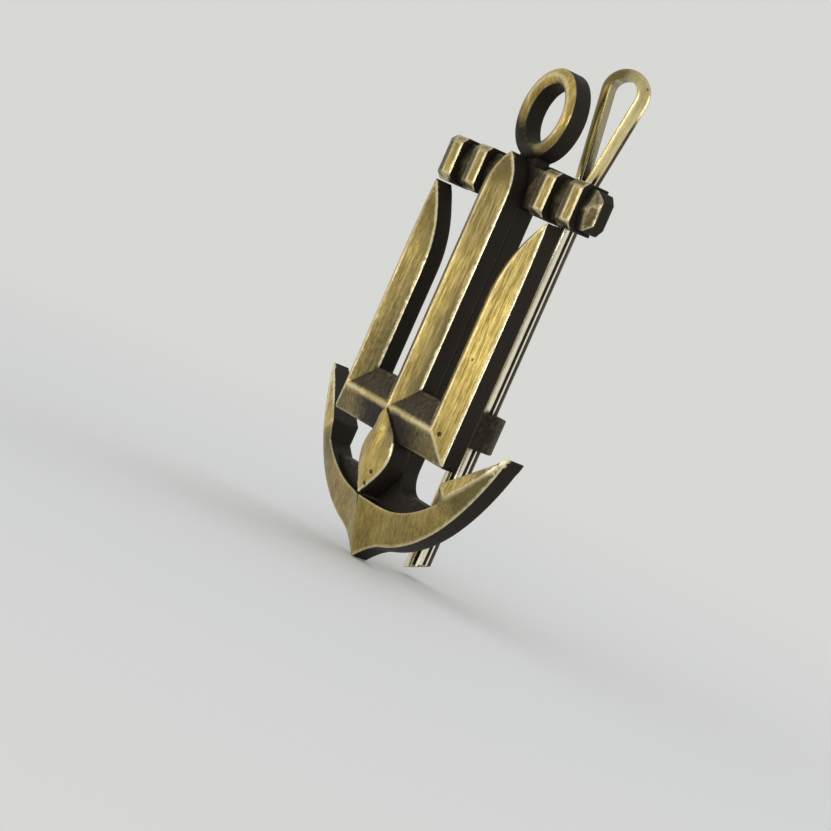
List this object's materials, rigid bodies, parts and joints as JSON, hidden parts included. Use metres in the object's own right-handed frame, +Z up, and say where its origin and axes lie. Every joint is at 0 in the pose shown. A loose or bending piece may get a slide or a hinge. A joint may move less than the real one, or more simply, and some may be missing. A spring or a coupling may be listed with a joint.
{
  "type": "figured shank button",
  "caption": "Antique brass shank button shaped as an anchor with a trident laid over it, with strap lugs on its back and a split pin that holds it on cloth.",
  "frame": {"origin": "on the back of the button, behind the crossing of the trident", "axes": "+Z up along the anchor's shank towards the head ring, +Y out of the back towards the cloth, +X to the right seen from the front"},
  "size_m": [0.0296, 0.0098, 0.042],
  "materials": {
    "antique_brass": "brushed, with dark patina in the recesses",
    "pin_brass": "bright drawn wire"
  },
  "bodies": {
    "badge": {"anchor": "antique_brass", "stock_bar": "antique_brass", "collar_left_outer": "antique_brass", "collar_left_inner": "antique_brass", "collar_right_inner": "antique_brass", "collar_right_outer": "antique_brass", "head_ring": "antique_brass", "trident": "antique_brass", "upper_lug": "antique_brass", "lower_lug": "antique_brass"},
    "pin": {"split_pin": "pin_brass"}
  },
  "joints": [
    {"name": "pin_slide", "type": "slide", "parent": "badge", "child": "pin", "axis": [0, 0, 1], "range_m": [0, 0.03]}
  ]
}
